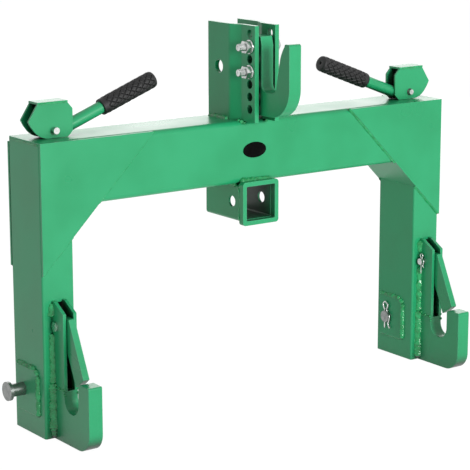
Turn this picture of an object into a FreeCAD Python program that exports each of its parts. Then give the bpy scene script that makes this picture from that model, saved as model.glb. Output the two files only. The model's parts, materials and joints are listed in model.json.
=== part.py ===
import FreeCAD, Part
import math
import os
from FreeCAD import Vector

# Category 1 three point quick hitch, in millimetres.
# X runs across the hitch, Y from the hooks in front to the tractor behind, Z up.
# Every piece is drawn with y = 0 on the front face of the frame tubes, and moved
# on export, so that the origin lies on the ground under the middle of the whole.

# ---- frame: two legs and a cross beam of rectangular tube
hook_spacing = 683.0
leg_width = 51.0
tube_depth = 86.0
frame_height = 425.0
beam_height = 94.0
tube_wall = 4.0
beam_corner = 8.0
leg_corner = 3.0
cap_thickness = 4.0

# ---- corner gussets: a triangular plate in front and behind, closed below
gusset_leg = 187.0
gusset_plate = 3.5
closing_plate = 4.0

# ---- receiver under the beam
receiver_bore = 50.8
receiver_outer = 57.5
collar_outer = 65.5
collar_bore = 52.0
collar_length = 10.0
receiver_front = 5.0
receiver_bore_corner = 2.0
receiver_corner = 5.0
receiver_pin_hole = 16.5
receiver_pin_setback = 19.0

# ---- mast: two joggled plates, close together in front and wider behind
mast_plate = 7.0
mast_height = 142.0
mast_overhang = 29.0
mast_rear_edge = 77.0
mast_front_gap = 29.6
mast_rear_gap = 46.6
joggle_front = 5.0
joggle_rear = 24.0
joggle_radius = 6.0
level_count = 7
level_pitch = 18.4
level_lowest = 19.0
level_hole = 13.0
level_edge_distance = 13.0
top_link_hole = 20.0
top_link_edge_distance = 27.5
top_link_height = 77.0

# ---- top hook, bolted between the mast plates
top_hook_thickness = 21.0
top_shank_face = -30.0
top_shank_width = 28.0
top_seat_width = 36.0
top_seat_corner = 11.0
top_seat_height = 46.0
top_shank_rise = 80.0
top_lead_in = 3.0
top_lead_in_drop = 13.0
top_nose_rise = 74.0
top_nose_reach = 66.5
top_nose_round = 4.0
top_throat_break = 52.0
top_throat_lean = 8.8
top_throat_flare = 18.5
top_throat_bow = 1.0
top_heel_radius = 44.0
top_seat_floor = 35.5
upper_bolt_index = 5
lower_bolt_index = 3

# ---- hook bolts, M10
bolt_diameter = 10.0
hook_hole_clearance = 0.5
bolt_head_flats = 17.0
bolt_head_height = 6.4
nut_height = 8.4
nut_clearance = 0.05
washer_thickness = 2.0
thread_end = 10.5

# ---- lower hooks, welded to the front of the legs
lower_hook_thickness = 22.0
lower_seat_diameter = 38.0
lower_seat_height = 66.0
lower_throat_rear = 29.5
lower_hook_reach = 95.0
lower_nose_height = 96.0
lower_heel_radius = 28.0
lower_lip_round = 5.0
ear_bottom = 76.0

# ---- latch ears, welded to the legs above the lower hooks
ear_plate = 5.0
ear_reach = 30.0
ear_top = 201.0
ear_shoulder = 187.0
ear_flat = 6.0
slot_bottom = 84.0
slot_top = 198.0

# ---- latches
latch_thickness = 10.0
latch_pivot_reach = 10.0
latch_pivot_height = 166.0
latch_swing = 31.0
latch_toe_clearance = 2.8
latch_front_angle = 43.9
latch_rear_angle = 27.4
latch_tilt = 25.3
latch_top_rise = 14.0
latch_boss_radius = 14.0
latch_tail_radius = 9.0
latch_pin_diameter = 10.0
latch_pin_head = 14.0
latch_pin_head_height = 3.0
latch_pin_end = 9.0
running_clearance = 0.08
pin_play = 0.02

# ---- cam levers on top of the legs
lever_pin_inset = 15.0
lever_setback = 40.0
lever_pin_height = 11.2
lever_pin_diameter = 8.0
lever_pin_head_end = 8.0
lever_pin_plain_end = 5.0
lever_pin_head = 9.5
cam_gap = 0.3
cam_plate = 3.0
cam_angle = 53.0
cam_radius = 30.0
cam_reach = 7.51
cam_flat = 8.0
cam_nose_reach = 40.3
cam_nose_height = 26.0
cam_head_height = 48.7
cam_top_plate = 3.0
cam_top_proud = 0.8
cam_shoulder_reach = 25.5
cam_inner_reach = 30.5
cam_corner = 8.0
cam_top_inset = 8.0
cam_neck_drop = 9.0
lever_tube_diameter = 18.0
lever_tube_wall = 2.5
lever_angle = 21.0
lever_root_inset = 19.5
lever_root_rise = 10.0
lever_length = 161.5
grip_diameter = 25.0
grip_length = 95.0
grip_end_wall = 2.5

# ---- pull rods inside the legs
rod_diameter = 8.0
rod_eye_diameter = 18.0
rod_eye_thickness = 12.0
rod_eye_weld = 2.0
rod_guide_clearance = 0.5
rod_bend_drop = 73.0
rod_bend_height = 62.0
rod_bend_radius = 30.0
rod_sides = 8
clevis_cheek = 4.0
clevis_side_gap = 0.6
clevis_bridge = 7.0
clevis_reach = 20.0
clevis_width = 16.0
clevis_pin_diameter = 8.0
tail_slot_play = 0.3

# ---- return springs round the pull rods
spring_length = 42.0
spring_turns = 5
spring_wire = 1.6
spring_bore_clearance = 0.6
collar_thickness = 4.0
spring_sides = 8

# ---- lower link pins through the foot of each leg
link_pin_diameter = 19.0
link_pin_back = 59.0
link_pin_height = 62.0
link_pin_head = 28.0
link_pin_head_height = 4.5
link_pin_stub = 22.0
link_pin_end = 5.6
pad_thickness = 2.2
outer_pad_front = 18.0
inner_pad_front = 23.0
pad_back = 78.0
pad_bottom = 30.0
pad_top = 97.0
pad_corner_cut = 7.0

# ---- bars and wires turn their corners in this many chords
bend_chords = 2
clip_bend_chords = 1

# ---- spring clips that hold the pins
link_clip_wire = 2.5
latch_clip_wire = 1.6
clip_hole_play = 0.15
clip_grip_gap = 0.3
clip_bend = 0.35
clip_wire_sides = 6

# ---- cutting tools run past the faces that they cut
overrun = 1.0

# ---- places that follow from the sizes above
leg_centre = hook_spacing / 2
leg_inner = leg_centre - leg_width / 2
leg_outer = leg_centre + leg_width / 2
beam_bottom = frame_height - beam_height
receiver_centre = beam_bottom - receiver_outer / 2
mast_front = -mast_overhang
level_line = mast_front + level_edge_distance
top_link_line = mast_rear_edge - top_link_edge_distance
# The toe of a latch swings past the rear edge of the hook's throat.
throat_edge_reach = math.hypot(lower_throat_rear - latch_pivot_reach, latch_pivot_height - ear_bottom)
latch_radius = throat_edge_reach - latch_toe_clearance
seat_centre_reach = lower_throat_rear + lower_seat_diameter / 2
cam_bottom = frame_height + cam_gap
lever_pin_offset = leg_centre - lever_pin_inset
lever_pin_level = cam_bottom + lever_pin_height
lever_root_offset = lever_pin_offset - lever_root_inset
lever_root_height = frame_height + lever_root_rise
rod_upper_bend = frame_height - rod_bend_drop
rod_lower_bend = rod_upper_bend - rod_bend_height
cam_top = cam_bottom + cam_head_height
cam_inner_edge = lever_pin_offset - cam_inner_reach
cam_shoulder = lever_pin_offset + cam_shoulder_reach
front_reach = top_nose_reach - top_shank_face
rear_reach = tube_depth + gusset_plate
front_face_y = (front_reach - rear_reach) / 2

# The cam rises by this much when the lever goes from flat to flat.
cam_rise = (cam_radius - lever_pin_height) * (1 - math.cos(math.radians(cam_angle)))
rod_lift = cam_rise + cam_reach * math.sin(math.radians(cam_angle))
# The tail is level half way, so that the latch swings as far each side of it.
tail_reach = rod_lift / (2 * math.tan(math.radians(latch_swing / 2)))
rod_line = tail_reach - latch_pivot_reach
tail_pin_level = latch_pivot_height - rod_lift / 2


def xy(a, b):
    return Vector(a, b, 0)


def xz(a, b):
    return Vector(a, 0, b)


def yz(a, b):
    return Vector(0, a, b)


class Outline:
    """A closed outline of lines and arcs in one plane, which becomes a plate."""

    normals = {xy: Vector(0, 0, 1), xz: Vector(0, 1, 0), yz: Vector(1, 0, 0)}

    def __init__(self, plane, start):
        self.plane = plane
        self.first = plane(*start)
        self.here = self.first
        self.edges = []

    def line(self, *points):
        for point in points:
            there = self.plane(*point)
            self.edges.append(Part.LineSegment(self.here, there).toShape())
            self.here = there
        return self

    def arc(self, through, end):
        there = self.plane(*end)
        self.edges.append(Part.Arc(self.here, self.plane(*through), there).toShape())
        self.here = there
        return self

    def turn(self, centre, end):
        """An arc of less than half a turn about a centre."""
        middle = self.plane(*centre)
        there = self.plane(*end)
        radius = (self.here - middle).Length
        half_way = (self.here - middle) + (there - middle)
        half_way.multiply(radius / half_way.Length)
        self.edges.append(Part.Arc(self.here, middle + half_way, there).toShape())
        self.here = there
        return self

    def plate(self, low, high):
        """Extrude the outline along its normal, from low to high."""
        self.edges.append(Part.LineSegment(self.here, self.first).toShape())
        normal = self.normals[self.plane]
        solid = Part.Face(Part.Wire(self.edges)).extrude(normal * (high - low))
        solid.translate(normal * low)
        return solid


def polygon_plate(plane, points, low, high):
    return Outline(plane, points[0]).line(*points[1:]).plate(low, high)


def cylinder(axis, radius, start, length):
    """A round bar from the point start along axis, which may be a vector."""
    return Part.makeCylinder(radius, length, Vector(*start), axis)


def along_x(radius, low, high, y, z):
    return cylinder(Vector(1, 0, 0), radius, (low, y, z), high - low)


def along_y(radius, low, high, x, z):
    return cylinder(Vector(0, 1, 0), radius, (x, low, z), high - low)


def along_z(radius, low, high, x, y):
    return cylinder(Vector(0, 0, 1), radius, (x, y, low), high - low)


def rounded_bar(plane, centre, size, radius, low, high):
    """A bar of rounded rectangular section."""
    a, b = centre
    w, h = size[0] / 2, size[1] / 2
    r = radius
    line = Outline(plane, (a - w + r, b - h))
    line.line((a + w - r, b - h)).turn((a + w - r, b - h + r), (a + w, b - h + r))
    line.line((a + w, b + h - r)).turn((a + w - r, b + h - r), (a + w - r, b + h))
    line.line((a - w + r, b + h)).turn((a - w + r, b + h - r), (a - w, b + h - r))
    line.line((a - w, b - h + r)).turn((a - w + r, b - h + r), (a - w + r, b - h))
    line.edges = [edge for edge in line.edges if edge.Length > 1e-6]
    section = Part.Face(Part.Wire(line.edges))
    normal = Outline.normals[plane]
    bar = section.extrude(normal * (high - low))
    bar.translate(normal * low)
    return bar


def square_bar(plane, centre, size, low, high):
    a, b = centre
    w, h = size[0] / 2, size[1] / 2
    corners = [(a - w, b - h), (a + w, b - h), (a + w, b + h), (a - w, b + h)]
    return polygon_plate(plane, corners, low, high)


def rounded_tube(plane, centre, size, radius, wall, low, high):
    """A rectangular tube, rounded outside and square inside."""
    outside = rounded_bar(plane, centre, size, radius, low, high)
    bore = (size[0] - 2 * wall, size[1] - 2 * wall)
    return outside.cut(square_bar(plane, centre, bore, low - overrun, high + overrun))


def ring_of_points(centre, radius, sides):
    """The corners of a level section of a bar, closed."""
    ring = []
    for step in range(sides + 1):
        angle = 2 * math.pi * step / sides
        ring.append(centre + Vector(math.cos(angle), math.sin(angle), 0) * radius)
    return ring


def bent_bar(points, bend_radius, chords, section):
    """A bar swept along a line that turns each corner by short chords of an arc."""
    knots = [points[0]]
    for before, corner, after in zip(points, points[1:], points[2:]):
        back = (before - corner).normalize()
        ahead = (after - corner).normalize()
        half_turn = (math.pi - back.getAngle(ahead)) / 2
        reach = bend_radius * math.tan(half_turn)
        depth = bend_radius / math.cos(half_turn) - bend_radius
        middle = corner + (back + ahead).normalize() * depth
        arc = Part.Arc(corner + back * reach, middle, corner + ahead * reach).toShape()
        knots.extend(arc.discretize(chords + 1))
    knots.append(points[-1])
    spine = Part.Wire(Part.makePolygon(knots))
    return spine.makePipeShell([section], True, False, 1)


def hex_prism(flats, low, high, y, z):
    """A hexagon across X, with two flats level."""
    corner = flats / math.sqrt(3)
    points = []
    for step in range(6):
        angle = math.radians(60 * step)
        points.append((y + corner * math.cos(angle), z + corner * math.sin(angle)))
    return polygon_plate(yz, points, low, high)


def mirrored(shape):
    return shape.mirror(Vector(0, 0, 0), Vector(1, 0, 0))


def save(name, shape):
    """Write one node, moved so that the origin is under the middle of the hitch."""
    moved = shape.copy()
    moved.translate(Vector(0, front_face_y, 0))
    moved.exportStep("parts/" + name + ".step")
    count = len(moved.Solids)
    print("%-26s %2d solid(s) %10.0f mm3 valid %s" % (name, count, moved.Volume, moved.isValid()))


def save_pair(name, shape):
    """Write a right-hand piece and its mirror image on the left."""
    save("right_" + name, shape)
    save("left_" + name, mirrored(shape))


# ---------------------------------------------------------------- frame
def cross_beam():
    centre = (tube_depth / 2, frame_height - beam_height / 2)
    size = (tube_depth, beam_height)
    return rounded_tube(yz, centre, size, beam_corner, tube_wall, -leg_inner, leg_inner)


def leg():
    centre = (leg_centre, tube_depth / 2)
    size = (leg_width, tube_depth)
    top = frame_height - cap_thickness
    tube = rounded_tube(xy, centre, size, leg_corner, tube_wall, 0, top)
    slot_width = lower_hook_thickness - 2 * ear_plate
    slot = Part.makeBox(slot_width, 2 * tube_wall, slot_top - slot_bottom,
                        Vector(leg_centre - slot_width / 2, -tube_wall, slot_bottom))
    return tube.cut(slot).cut(link_pin_hole())


def leg_cap():
    centre = (leg_centre, tube_depth / 2)
    size = (leg_width, tube_depth)
    low = frame_height - cap_thickness
    plate = rounded_bar(xy, centre, size, leg_corner, low, frame_height)
    guide = along_z(rod_diameter / 2 + rod_guide_clearance, low - overrun,
                    frame_height + overrun, lever_pin_offset, lever_setback)
    return plate.cut(guide)


def gusset(low, high, top):
    """A triangle with a slope of 45 degrees and a level top edge."""
    foot = frame_height - gusset_leg
    points = [(leg_outer - top + foot, top), (leg_outer, foot), (leg_outer, top)]
    return polygon_plate(xz, points, low, high)


def corner_closing_plate():
    diagonal = leg_outer - gusset_leg + frame_height
    slant = closing_plate * math.sqrt(2)
    points = [(diagonal - beam_bottom, beam_bottom), (leg_inner, diagonal - leg_inner),
              (leg_inner, diagonal - leg_inner + slant),
              (diagonal - beam_bottom + slant, beam_bottom)]
    return polygon_plate(xz, points, 0, tube_depth)


# ---------------------------------------------------------------- receiver
def receiver_pin_bore():
    reach = collar_outer
    return along_x(receiver_pin_hole / 2, -reach, reach, receiver_pin_setback, receiver_centre)


def receiver_tube():
    centre = (0, receiver_centre)
    outside = rounded_bar(xz, centre, (receiver_outer, receiver_outer), receiver_corner,
                          -receiver_front, tube_depth)
    inside = rounded_bar(xz, centre, (receiver_bore, receiver_bore), receiver_bore_corner,
                         -receiver_front - overrun, tube_depth + overrun)
    return outside.cut(inside).cut(receiver_pin_bore())


def receiver_collar():
    """A heavier ring welded to the mouth of the receiver tube."""
    centre = (0, receiver_centre)
    front = -receiver_front - collar_length
    outside = rounded_bar(xz, centre, (collar_outer, collar_outer), receiver_corner,
                          front, -receiver_front)
    inside = rounded_bar(xz, centre, (collar_bore, collar_bore), receiver_bore_corner,
                         front - overrun, -receiver_front + overrun)
    return outside.cut(inside)


# ---------------------------------------------------------------- mast and top hook
def level_height(level):
    return frame_height + level_lowest + level * level_pitch


def bend_fillet(solid, x, y, radius):
    """Round the upright edge that stands at x, y."""
    for edge in solid.Edges:
        upright = abs(edge.Vertexes[0].Z - edge.Vertexes[-1].Z) > mast_height / 2
        centre = edge.CenterOfMass
        if upright and abs(centre.x - x) < 0.01 and abs(centre.y - y) < 0.01:
            return solid.makeFillet(radius, [edge])
    raise ValueError("no upright edge at %.1f, %.1f" % (x, y))


def mast_side_plate():
    """The right-hand plate, bent outwards between its front and its rear half."""
    front_in = mast_front_gap / 2
    rear_in = mast_rear_gap / 2
    slope = math.atan2(rear_in - front_in, joggle_rear - joggle_front)
    shift = mast_plate * math.tan(slope / 2) / 2
    points = [(front_in, mast_front), (front_in + mast_plate, mast_front),
              (front_in + mast_plate, joggle_front - shift),
              (rear_in + mast_plate, joggle_rear - shift),
              (rear_in + mast_plate, mast_rear_edge), (rear_in, mast_rear_edge),
              (rear_in, joggle_rear + shift), (front_in, joggle_front + shift)]
    plate = polygon_plate(xy, points, frame_height, frame_height + mast_height)
    outer_radius = joggle_radius + mast_plate
    plate = bend_fillet(plate, points[2][0], points[2][1], joggle_radius)
    plate = bend_fillet(plate, points[3][0], points[3][1], outer_radius)
    plate = bend_fillet(plate, points[6][0], points[6][1], joggle_radius)
    plate = bend_fillet(plate, points[7][0], points[7][1], outer_radius)
    reach = mast_rear_gap
    for level in range(level_count):
        plate = plate.cut(along_x(level_hole / 2, 0, reach, level_line, level_height(level)))
    link_level = frame_height + top_link_height
    return plate.cut(along_x(top_link_hole / 2, 0, reach, top_link_line, link_level))


def top_hook_blank():
    """The hook plate on the middle plane, before its bolt holes."""
    face = top_shank_face
    seat = frame_height + top_seat_height
    floor = seat - top_seat_floor
    nose = face - top_nose_reach
    top = seat + top_nose_rise
    wall = face - top_seat_width
    lean = wall - top_throat_lean
    flare = wall - top_throat_flare
    corner = top_seat_corner
    heel = top_heel_radius
    rounding = top_nose_round
    lean_top = seat + top_throat_break
    hook = Outline(yz, (face + top_shank_width, floor))
    hook.line((nose + heel, floor)).turn((nose + heel, floor + heel), (nose, floor + heel))
    hook.line((nose, top - rounding))
    hook.turn((nose + rounding, top - rounding), (nose + rounding, top))
    hook.line((flare - rounding, top))
    hook.turn((flare - rounding, top - rounding), (flare, top - rounding))
    bow = ((flare + lean) / 2 + top_throat_bow, (top - rounding + lean_top) / 2)
    hook.arc(bow, (lean, lean_top))
    hook.line((wall, seat + corner))
    hook.turn((wall + corner, seat + corner), (wall + corner, seat))
    hook.line((face - corner, seat)).turn((face - corner, seat + corner), (face, seat + corner))
    shank_top = seat + top_shank_rise
    hook.line((face, shank_top - top_lead_in_drop), (face + top_lead_in, shank_top))
    hook.line((face + top_shank_width, shank_top))
    half = top_hook_thickness / 2
    return hook.plate(-half, half)


def top_hook():
    half = top_hook_thickness / 2
    radius = bolt_diameter / 2 + hook_hole_clearance
    plate = top_hook_blank()
    for level in (upper_bolt_index, lower_bolt_index):
        plate = plate.cut(along_x(radius, -half, half, level_line, level_height(level)))
    return plate


def hook_fasteners():
    """Bolts from the right, with nuts on the left that leave room for their washers."""
    face = mast_front_gap / 2 + mast_plate
    nut_face = -face - washer_thickness
    tip = nut_face - nut_height - thread_end
    bolts, nuts = [], []
    for level in (upper_bolt_index, lower_bolt_index):
        z = level_height(level)
        radius = bolt_diameter / 2
        head = hex_prism(bolt_head_flats, face, face + bolt_head_height, level_line, z)
        bolts.append(head.fuse(along_x(radius, tip, face, level_line, z)))
        bore = along_x(radius + nut_clearance, tip, 0, level_line, z)
        nut = hex_prism(bolt_head_flats, nut_face - nut_height, nut_face, level_line, z)
        nuts.append(nut.cut(bore))
    return bolts, nuts


# ---------------------------------------------------------------- lower hooks and latches
def lower_hook():
    seat = lower_seat_diameter / 2
    back = -lower_throat_rear
    front = back - lower_seat_diameter
    nose = -lower_hook_reach
    heel = lower_heel_radius
    lip = lower_lip_round
    top = lower_nose_height
    hook = Outline(yz, (0, 0))
    hook.line((nose + heel, 0)).turn((nose + heel, heel), (nose, heel))
    hook.line((nose, top - lip / 2)).turn((nose + lip / 2, top - lip / 2), (nose + lip / 2, top))
    hook.line((front - lip, top)).turn((front - lip, top - lip), (front, top - lip))
    hook.line((front, lower_seat_height))
    hook.arc((-seat_centre_reach, lower_seat_height - seat), (back, lower_seat_height))
    hook.line((back, ear_bottom), (0, ear_bottom))
    half = lower_hook_thickness / 2
    return hook.plate(leg_centre - half, leg_centre + half)


def latch_ear(low, high):
    points = [(0, ear_bottom), (-ear_reach, ear_bottom), (-ear_reach, ear_shoulder),
              (-ear_flat, ear_top), (0, ear_top)]
    ear = polygon_plate(yz, points, low, high)
    hole = along_x(latch_pin_diameter / 2, low, high, -latch_pivot_reach, latch_pivot_height)
    return ear.cut(hole)


def pivot_point(radius, angle):
    """A point at a distance from the latch pivot, at an angle forward of straight down."""
    turn = math.radians(angle)
    return (-latch_pivot_reach - radius * math.sin(turn),
            latch_pivot_height - radius * math.cos(turn))


def latch():
    half = latch_thickness / 2
    low, high = leg_centre - half, leg_centre + half
    front_toe = pivot_point(latch_radius, latch_front_angle)
    mid_toe = pivot_point(latch_radius, (latch_front_angle + latch_rear_angle) / 2)
    rear_toe = pivot_point(latch_radius, latch_rear_angle)
    top = latch_pivot_height + latch_top_rise
    lean = math.tan(math.radians(latch_tilt))
    front_top = (front_toe[0] + (top - front_toe[1]) * lean, top)
    rear_top = (rear_toe[0] + (latch_pivot_height - rear_toe[1]) * lean, latch_pivot_height)
    blade = Outline(yz, front_toe).arc(mid_toe, rear_toe)
    blade.line(rear_top, (-latch_pivot_reach, latch_pivot_height), (-latch_pivot_reach, top))
    blade = blade.line(front_top).plate(low, high)
    boss = along_x(latch_boss_radius, low, high, -latch_pivot_reach, latch_pivot_height)
    end_y, end_z = rod_line, tail_pin_level
    eye = along_x(latch_tail_radius, low, high, end_y, end_z)
    drop = math.atan2(latch_pivot_height - end_z, tail_reach)
    side_y = latch_tail_radius * math.sin(drop)
    side_z = latch_tail_radius * math.cos(drop)
    tail = polygon_plate(yz, [
        (-latch_pivot_reach - side_y, latch_pivot_height - side_z),
        (end_y - side_y, end_z - side_z), (end_y + side_y, end_z + side_z),
        (-latch_pivot_reach + side_y, latch_pivot_height + side_z)], low, high)
    plate = blade.multiFuse([boss, tail, eye]).removeSplitter()
    bore = latch_pin_diameter / 2 + running_clearance
    plate = plate.cut(along_x(bore, low, high, -latch_pivot_reach, latch_pivot_height))
    # The pin of the pull rod moves straight up, so its hole is a short slot along the tail.
    rest_radius = tail_reach / math.cos(drop)
    slot_radius = clevis_pin_diameter / 2 + tail_slot_play
    slot = along_x(slot_radius, low, high, tail_reach, 0)
    slot = slot.fuse(along_x(slot_radius, low, high, rest_radius, 0))
    slot = slot.fuse(Part.makeBox(latch_thickness, rest_radius - tail_reach, 2 * slot_radius,
                                  Vector(low, tail_reach, -slot_radius)))
    slot.rotate(Vector(0, 0, 0), Vector(1, 0, 0), -math.degrees(drop))
    slot.translate(Vector(0, -latch_pivot_reach, latch_pivot_height))
    return plate.cut(slot)


def clip_hole(pin_radius, wire, x, y, z):
    """The hole through a pin for its clip, with as many sides as the clip's wire."""
    start = Vector(x, y, z - pin_radius)
    section = ring_of_points(start, wire / 2 + clip_hole_play, clip_wire_sides)
    return Part.Face(Part.makePolygon(section)).extrude(Vector(0, 0, 2 * pin_radius))


def latch_pin_tip():
    return leg_centre - lower_hook_thickness / 2 - latch_pin_end


def latch_pivot_pin():
    radius = latch_pin_diameter / 2
    head_face = leg_centre + lower_hook_thickness / 2
    y, z = -latch_pivot_reach, latch_pivot_height
    shank = along_x(radius - pin_play, latch_pin_tip(), head_face, y, z)
    head = along_x(latch_pin_head / 2, head_face, head_face + latch_pin_head_height, y, z)
    clip_x = latch_pin_tip() + latch_pin_end / 2
    return shank.fuse(head).cut(clip_hole(radius, latch_clip_wire, clip_x, y, z))


def spring_clip(wire, pin_radius, x, y, z):
    """A spring clip: a straight leg through the pin, a loop, and a leg that hugs the pin."""
    r = pin_radius
    hug = r + wire / 2 + clip_grip_gap
    points = [(0, -2.1 * r), (0, 2.1 * r), (-0.35 * r, 2.8 * r), (0.35 * r, 3.5 * r),
              (r, 2.8 * r), (0.5 * r, 1.5 * r), (hug, 0.55 * r), (hug, -0.55 * r),
              (0.6 * hug, -1.45 * r), (hug, -2.1 * r)]
    path = [Vector(x, y - across, z + up) for across, up in points]
    section = ring_of_points(path[0], wire / 2, clip_wire_sides)
    return bent_bar(path, clip_bend * r, clip_bend_chords, Part.makePolygon(section))


# ---------------------------------------------------------------- cam levers
def cam_side_plate(low, high):
    """One side of the lever head, which rolls over its arc on to the short slanted flat."""
    start = lever_pin_offset + cam_reach
    turn = math.radians(cam_angle)
    centre = (start, cam_bottom + cam_radius)
    end = (start + cam_radius * math.sin(turn), centre[1] - cam_radius * math.cos(turn))
    flat_end = (end[0] + cam_flat * math.cos(turn), end[1] + cam_flat * math.sin(turn))
    nose = (lever_pin_offset + cam_nose_reach, cam_bottom + cam_nose_height)
    inner = cam_inner_edge
    neck = cam_top - cam_neck_drop
    side = Outline(xz, (inner + cam_corner, cam_bottom))
    side.line((start, cam_bottom)).turn(centre, end)
    side.line(flat_end, nose, (cam_shoulder, cam_top), (inner + cam_top_inset, cam_top))
    side.line((inner, neck), (inner, cam_bottom + cam_corner))
    plate = side.plate(low, high)
    return plate.cut(along_y(lever_pin_diameter / 2, low, high, lever_pin_offset, lever_pin_level))


def cam_half_depth():
    return lever_tube_diameter / 2 + cam_plate


def cam_side_plates():
    inner = lever_tube_diameter / 2
    outer = cam_half_depth()
    front = cam_side_plate(lever_setback - outer, lever_setback - inner)
    rear = cam_side_plate(lever_setback + inner, lever_setback + outer)
    return [front, rear]


def cam_top_cover():
    half = cam_half_depth() + cam_top_proud
    inner = cam_inner_edge + cam_top_inset
    return Part.makeBox(cam_shoulder - inner, 2 * half, cam_top_plate,
                        Vector(inner, lever_setback - half, cam_top))


def lever_direction():
    turn = math.radians(lever_angle)
    return Vector(-math.cos(turn), 0, math.sin(turn))


def lever_point(distance):
    root = Vector(lever_root_offset, lever_setback, lever_root_height)
    return root + lever_direction() * distance


def lever_tube():
    start = lever_point(0)
    tube = cylinder(lever_direction(), lever_tube_diameter / 2, start, lever_length)
    inner = lever_tube_diameter / 2 - lever_tube_wall
    return tube.cut(cylinder(lever_direction(), inner, start, lever_length))


def grip():
    """A sleeve with a closed end, turned about the lever."""
    radius = grip_diameter / 2
    bore = lever_tube_diameter / 2 + pin_play
    length = grip_length
    depth = length - grip_end_wall
    line = Outline(xz, (bore, 0)).line((radius, 0), (radius, length), (0, length))
    line.line((0, depth), (bore, depth), (bore, 0))
    section = Part.Face(Part.Wire(line.edges))
    sleeve = section.revolve(Vector(0, 0, 0), Vector(0, 0, 1), 360)
    sleeve.rotate(Vector(0, 0, 0), Vector(0, 1, 0), lever_angle - 90)
    start = lever_point(lever_length - depth)
    sleeve.translate(start)
    return sleeve


def lever_pin(head_in_front):
    """A pin through both sides, with a long head on one side and a plain end on the other."""
    side = -1 if head_in_front else 1
    face = lever_setback + side * cam_half_depth()
    head_end = face + side * lever_pin_head_end
    plain_end = lever_setback - side * (cam_half_depth() + lever_pin_plain_end)
    shank = along_y(lever_pin_diameter / 2 - pin_play, min(face, plain_end), max(face, plain_end),
                    lever_pin_offset, lever_pin_level)
    head = along_y(lever_pin_head / 2, min(face, head_end), max(face, head_end),
                   lever_pin_offset, lever_pin_level)
    return shank.fuse(head)


# ---------------------------------------------------------------- pull rods and springs
def rod_route():
    x, y = lever_pin_offset, lever_setback
    eye = lever_pin_level - rod_eye_diameter / 2 + rod_eye_weld
    foot = tail_pin_level + clevis_reach
    return [Vector(x, y, eye), Vector(x, y, rod_upper_bend),
            Vector(leg_centre, rod_line, rod_lower_bend), Vector(leg_centre, rod_line, foot)]


def clevis():
    """A fork at the foot of the pull rod, astride the tail of the latch, with its pin."""
    inner = latch_thickness / 2 + clevis_side_gap
    outer = inner + clevis_cheek
    half = clevis_width / 2
    low = tail_pin_level - half
    top = tail_pin_level + clevis_reach
    cut = half / 2
    fork = polygon_plate(yz, [
        (rod_line - cut, low), (rod_line + cut, low), (rod_line + half, low + cut),
        (rod_line + half, top), (rod_line - half, top), (rod_line - half, low + cut)],
        leg_centre - outer, leg_centre + outer)
    gap = Part.makeBox(2 * inner, clevis_width, top - clevis_bridge - low,
                       Vector(leg_centre - inner, rod_line - half, low))
    pin = along_x(clevis_pin_diameter / 2, leg_centre - inner, leg_centre + inner,
                  rod_line, tail_pin_level)
    return fork.cut(gap).fuse(pin)


def spring_collar():
    """The stop under the return spring, welded to the rod."""
    start = Vector(lever_pin_offset, lever_setback, spring_bottom() - collar_thickness)
    radius = rod_diameter / 2 + spring_bore_clearance + spring_wire
    section = ring_of_points(start, radius, rod_sides)
    return Part.Face(Part.makePolygon(section)).extrude(Vector(0, 0, collar_thickness))


def pull_rod():
    """The bent rod with its eye, its spring collar and its clevis, all welded up."""
    route = rod_route()
    section = ring_of_points(route[0], rod_diameter / 2, rod_sides)
    rod = bent_bar(route, rod_bend_radius, bend_chords, Part.makePolygon(section))
    half = rod_eye_thickness / 2
    front, rear = lever_setback - half, lever_setback + half
    eye = along_y(rod_eye_diameter / 2, front, rear, lever_pin_offset, lever_pin_level)
    bore = along_y(lever_pin_diameter / 2 + running_clearance, front, rear,
                   lever_pin_offset, lever_pin_level)
    return rod.multiFuse([eye, spring_collar(), clevis()]).removeSplitter().cut(bore)


def spring_bottom():
    return frame_height - cap_thickness - spring_length


def return_spring():
    """A coil of square wire in short straight runs, closed round the rod."""
    inner = rod_diameter / 2 + spring_bore_clearance
    outer = inner + spring_wire
    bottom = spring_bottom()
    rise = (spring_length - spring_wire) / (spring_turns * spring_sides)
    rings = []
    for step in range(spring_turns * spring_sides + 1):
        angle = 2 * math.pi * step / spring_sides
        low = bottom + rise * step
        ring = []
        for radius, up in ((inner, 0), (outer, 0), (outer, spring_wire), (inner, spring_wire)):
            ring.append(Vector(lever_pin_offset + radius * math.cos(angle),
                               lever_setback + radius * math.sin(angle), low + up))
        rings.append(ring)
    faces = [Part.Face(Part.makePolygon(ring + ring[:1])) for ring in (rings[0], rings[-1])]
    for ring, following in zip(rings, rings[1:]):
        for side in range(4):
            other = (side + 1) % 4
            a, b = ring[side], ring[other]
            c, d = following[other], following[side]
            faces.append(Part.Face(Part.makePolygon([a, b, c, a])))
            faces.append(Part.Face(Part.makePolygon([a, c, d, a])))
    coil = Part.makeSolid(Part.makeShell(faces))
    if coil.Volume < 0:
        coil.reverse()
    return coil


# ---------------------------------------------------------------- lower link pins
def link_pin_hole():
    reach = pad_thickness + overrun
    return along_x(link_pin_diameter / 2 + running_clearance, leg_inner - reach,
                   leg_outer + reach, link_pin_back, link_pin_height)


def link_pin_pad(low, high, front):
    cut = pad_corner_cut
    points = [(front, pad_bottom), (pad_back, pad_bottom), (pad_back, pad_top),
              (front + cut, pad_top), (front, pad_top - cut)]
    return polygon_plate(yz, points, low, high).cut(link_pin_hole())


def link_pin_pads():
    return [link_pin_pad(leg_inner - pad_thickness, leg_inner, inner_pad_front),
            link_pin_pad(leg_outer, leg_outer + pad_thickness, outer_pad_front)]


def link_pin_tip():
    return leg_inner - pad_thickness - link_pin_end


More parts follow.
